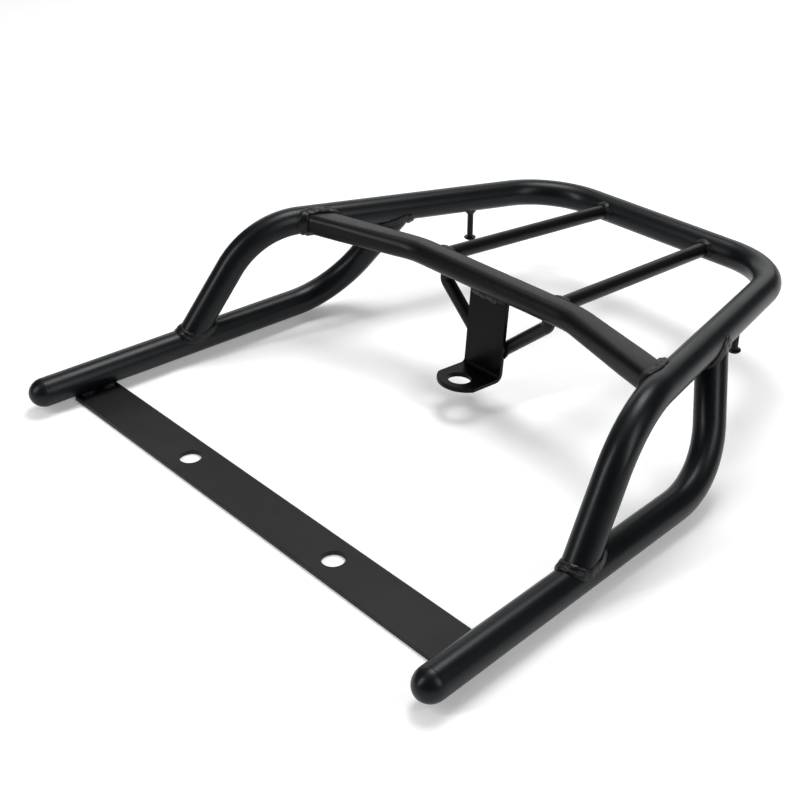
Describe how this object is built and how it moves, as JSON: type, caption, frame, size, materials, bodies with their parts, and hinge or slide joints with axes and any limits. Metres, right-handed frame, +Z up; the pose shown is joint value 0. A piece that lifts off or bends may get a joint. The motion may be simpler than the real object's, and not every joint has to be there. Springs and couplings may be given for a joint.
{
  "type": "motorcycle rear luggage rack",
  "caption": "Welded black steel-tube rear luggage rack for a motorcycle: hoop platform with rods on bent side rails, bolted down by a drilled front plate and a centre bracket.",
  "frame": {"origin": "on the ground plane, under the middle of the rack's bounding box", "axes": "+Z up, +Y to the rear of the motorcycle, +X to the rider's left; the front plate is at the -Y end and the hoop's rear bar at the +Y end"},
  "size_m": [0.379, 0.4142, 0.0934],
  "materials": {
    "frame_tube": "satin black powder coat on bent steel tube",
    "flat_bar": "satin black powder coat on flat steel bar",
    "round_bar": "satin black powder coat on round steel bar",
    "weld_bead": "satin black powder coat over rippled weld beads"
  },
  "bodies": {
    "root": {"brace_foot_weld_left": "weld_bead", "brace_foot_weld_right": "weld_bead", "brace_top_weld_left": "weld_bead", "brace_top_weld_right": "weld_bead", "bracket_brace_left": "round_bar", "bracket_brace_right": "round_bar", "bracket_weld_front": "weld_bead", "bracket_weld_rear": "weld_bead", "centre_bracket": "flat_bar", "crossmember": "frame_tube", "crossmember_weld_left": "weld_bead", "crossmember_weld_right": "weld_bead", "front_plate": "flat_bar", "leg_weld_left": "weld_bead", "leg_weld_right": "weld_bead", "lower_rail_left": "frame_tube", "lower_rail_right": "frame_tube", "luggage_rod_left": "round_bar", "luggage_rod_right": "round_bar", "peg_weld_left": "weld_bead", "peg_weld_right": "weld_bead", "plate_weld_left_front": "weld_bead", "plate_weld_left_rear": "weld_bead", "plate_weld_right_front": "weld_bead", "plate_weld_right_rear": "weld_bead", "rail_end_dome_left": "frame_tube", "rail_end_dome_right": "frame_tube", "rail_top_weld_left": "weld_bead", "rail_top_weld_right": "weld_bead", "rod_front_weld_left": "weld_bead", "rod_front_weld_right": "weld_bead", "rod_rear_weld_left": "weld_bead", "rod_rear_weld_right": "weld_bead", "strap_peg_left": "round_bar", "strap_peg_right": "round_bar", "upper_hoop": "frame_tube"}
  },
  "joints": []
}
